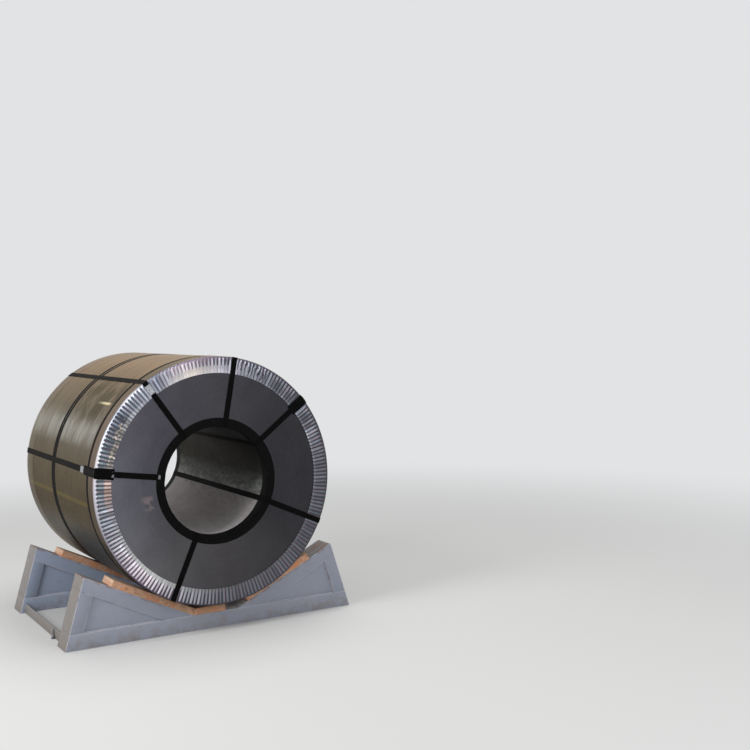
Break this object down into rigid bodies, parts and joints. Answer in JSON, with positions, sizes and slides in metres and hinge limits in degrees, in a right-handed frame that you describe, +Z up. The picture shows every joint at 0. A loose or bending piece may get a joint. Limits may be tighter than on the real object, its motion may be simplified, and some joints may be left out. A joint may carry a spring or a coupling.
{
  "type": "strapped steel coil on saddles",
  "caption": "Large coil of galvanised steel strip lying with its bore level on two timber-lined steel saddles, with crimped edge rings, bore rings and black steel straps.",
  "frame": {"origin": "on the floor, at the centre of the bounding box's base", "axes": "+X along the bore, out of the front end; +Y to the right across the saddles; +Z up"},
  "size_m": [1.4626, 1.72, 1.5403],
  "materials": {
    "coil_strip": "hot-dip galvanised strip, faint spangle, dull cut edges on the ends",
    "edge_ring_sheet": "bright galvanised sheet, crimped",
    "bore_ring_sheet": "black lacquered sheet, satin",
    "strap_steel": "black waxed steel strapping, satin",
    "seal_steel": "zinc plated strap seal",
    "pad_rubber": "matt black rubber",
    "lining_wood": "rough sawn softwood, oil stained",
    "saddle_paint": "pale blue-grey paint, dusty"
  },
  "bodies": {
    "root": {"bore_ring_front": "bore_ring_sheet", "bore_ring_rear": "bore_ring_sheet", "corner_pad_left": "pad_rubber", "corner_pad_upper_right": "pad_rubber", "edge_ring_front": "edge_ring_sheet", "edge_ring_rear": "edge_ring_sheet", "eye_seal_left": "seal_steel", "eye_seal_lower_left": "seal_steel", "eye_seal_right": "seal_steel", "eye_seal_top": "seal_steel", "eye_seal_upper_left": "seal_steel", "eye_seal_upper_right": "seal_steel", "eye_strap_left": "strap_steel", "eye_strap_lower_left": "strap_steel", "eye_strap_right": "strap_steel", "eye_strap_top": "strap_steel", "eye_strap_upper_left": "strap_steel", "eye_strap_upper_right": "strap_steel", "floor_rail_left": "saddle_paint", "floor_rail_right": "saddle_paint", "girth_seal_front": "seal_steel", "girth_seal_middle_a": "seal_steel", "girth_seal_middle_b": "seal_steel", "girth_strap_front": "strap_steel", "girth_strap_middle_a": "strap_steel", "girth_strap_middle_b": "strap_steel", "lining_front_left": "lining_wood", "lining_front_middle": "lining_wood", "lining_front_right": "lining_wood", "lining_rear_left": "lining_wood", "lining_rear_middle": "lining_wood", "lining_rear_right": "lining_wood", "saddle_front_base_beam": "saddle_paint", "saddle_front_post_left": "saddle_paint", "saddle_front_post_right": "saddle_paint", "saddle_front_slope_beam_left": "saddle_paint", "saddle_front_slope_beam_right": "saddle_paint", "saddle_front_web_plate_left": "saddle_paint", "saddle_front_web_plate_right": "saddle_paint", "saddle_rear_base_beam": "saddle_paint", "saddle_rear_post_left": "saddle_paint", "saddle_rear_post_right": "saddle_paint", "saddle_rear_slope_beam_left": "saddle_paint", "saddle_rear_slope_beam_right": "saddle_paint", "saddle_rear_web_plate_left": "saddle_paint", "saddle_rear_web_plate_right": "saddle_paint", "steel_coil": "coil_strip"}
  },
  "joints": []
}
